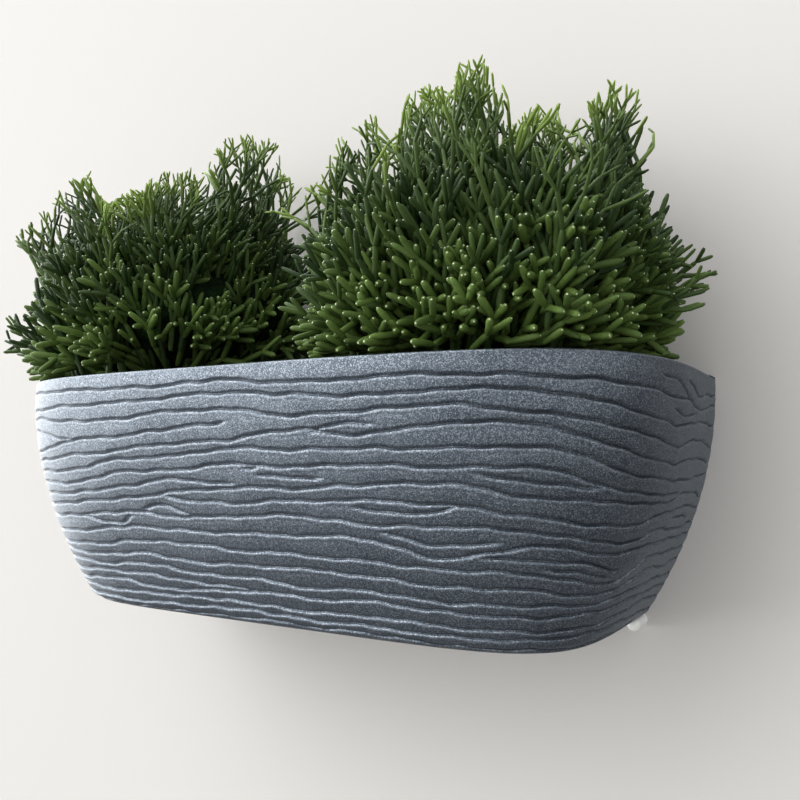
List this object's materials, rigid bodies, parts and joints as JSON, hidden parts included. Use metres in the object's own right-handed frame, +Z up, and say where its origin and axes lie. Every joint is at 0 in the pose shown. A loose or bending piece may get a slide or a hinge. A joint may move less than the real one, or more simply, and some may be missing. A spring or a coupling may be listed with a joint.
{
  "type": "wall planter",
  "caption": "D-shaped moulded wall planter with wavy grooves, hung on a wall rail and corner pegs, holding potted jointed-stem plants.",
  "frame": {"origin": "on the wall face, midway between the two screws of the wall rail", "axes": "+X along the wall, to the right seen from the room; +Y into the wall; +Z up; the planter's bowed front faces -Y"},
  "size_m": [0.4557, 0.199, 0.2967],
  "materials": {
    "speckled_shell": "satin",
    "black_rubber": "matte",
    "white_rail": "satin",
    "zinc_steel": "satin",
    "white_peg": "satin",
    "pot_plastic": "matte",
    "potting_soil": "matte",
    "plant_stems": "satin"
  },
  "bodies": {
    "wall_fixing": {"wall_rail": "white_rail", "rail_screws": "zinc_steel", "corner_peg_left": "white_peg", "corner_peg_right": "white_peg", "peg_pins": "zinc_steel"},
    "planter": {"planter_shell": "speckled_shell"},
    "drain_bung": {"drain_plug": "black_rubber"},
    "potted_left": {"nursery_pot_left": "pot_plastic", "soil_left": "potting_soil", "plant_left": "plant_stems"},
    "potted_right": {"nursery_pot_right": "pot_plastic", "soil_right": "potting_soil", "plant_right": "plant_stems"}
  },
  "joints": [
    {"name": "planter_lift", "type": "slide", "parent": "wall_fixing", "child": "planter", "axis": [0, 0, 1], "range_m": [0, 0.014]},
    {"name": "pot_left_lift", "type": "slide", "parent": "planter", "child": "potted_left", "axis": [0, 0, 1], "range_m": [0, 0.16]},
    {"name": "pot_right_lift", "type": "slide", "parent": "planter", "child": "potted_right", "axis": [0, 0, 1], "range_m": [0, 0.16]},
    {"name": "drain_plug_pull", "type": "slide", "parent": "planter", "child": "drain_bung", "axis": [0, 0, -1], "range_m": [0, 0.012]}
  ]
}
